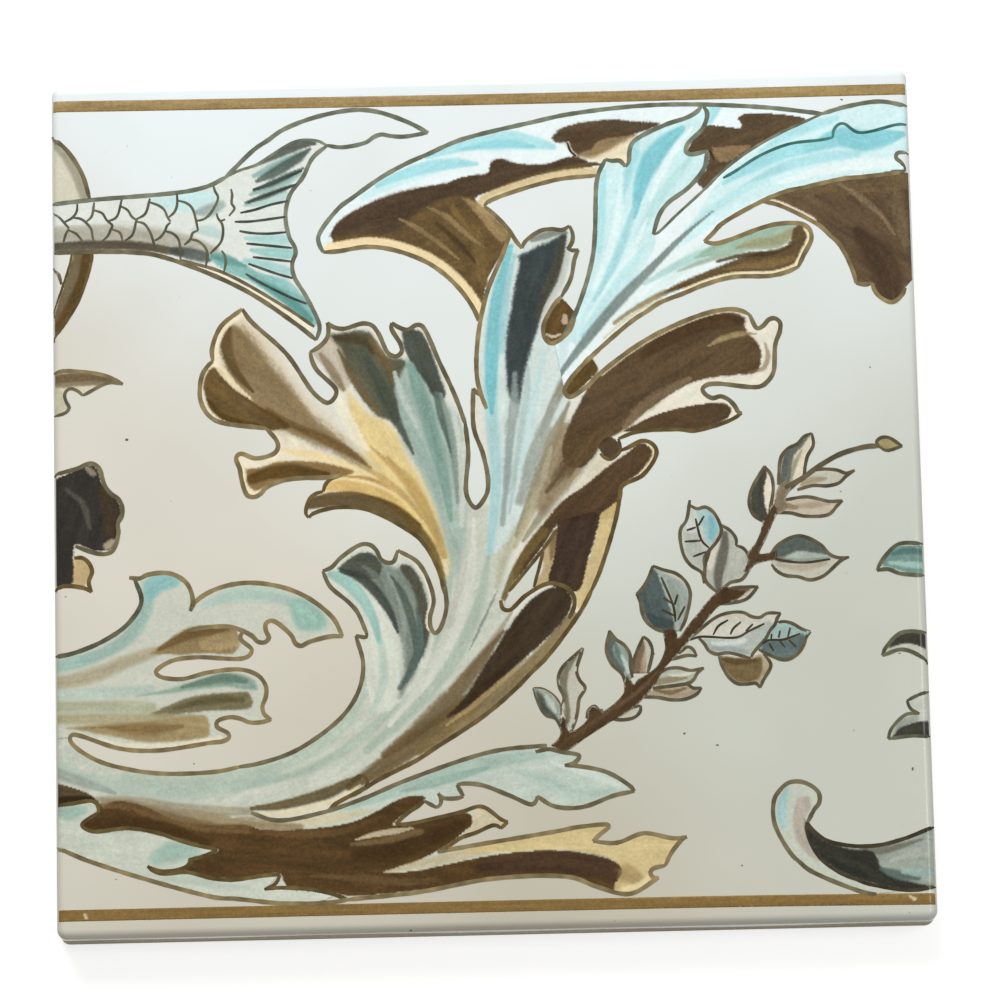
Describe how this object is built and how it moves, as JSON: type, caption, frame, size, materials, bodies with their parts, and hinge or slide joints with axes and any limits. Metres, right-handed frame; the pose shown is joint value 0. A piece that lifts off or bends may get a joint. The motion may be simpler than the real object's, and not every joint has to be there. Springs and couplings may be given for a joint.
{
  "type": "victorian border tile",
  "caption": "Square glazed ceramic border tile with a printed acanthus scroll between gold bands, rolled face edges and a keyed back for bedding in mortar.",
  "frame": {"origin": "middle of the back, on the level of the rim and bars that the tile lies on", "axes": "+Z out of the glazed face, +Y towards the upper gold band, +X along the border to the right as the ornament reads"},
  "size_m": [0.1524, 0.1524, 0.0095],
  "materials": {
    "glazed_tile": "glossy clear glaze over an off-white body, with printed and hand-tinted ornament"
  },
  "bodies": {
    "root": {"border_tile": "glazed_tile"}
  },
  "joints": []
}
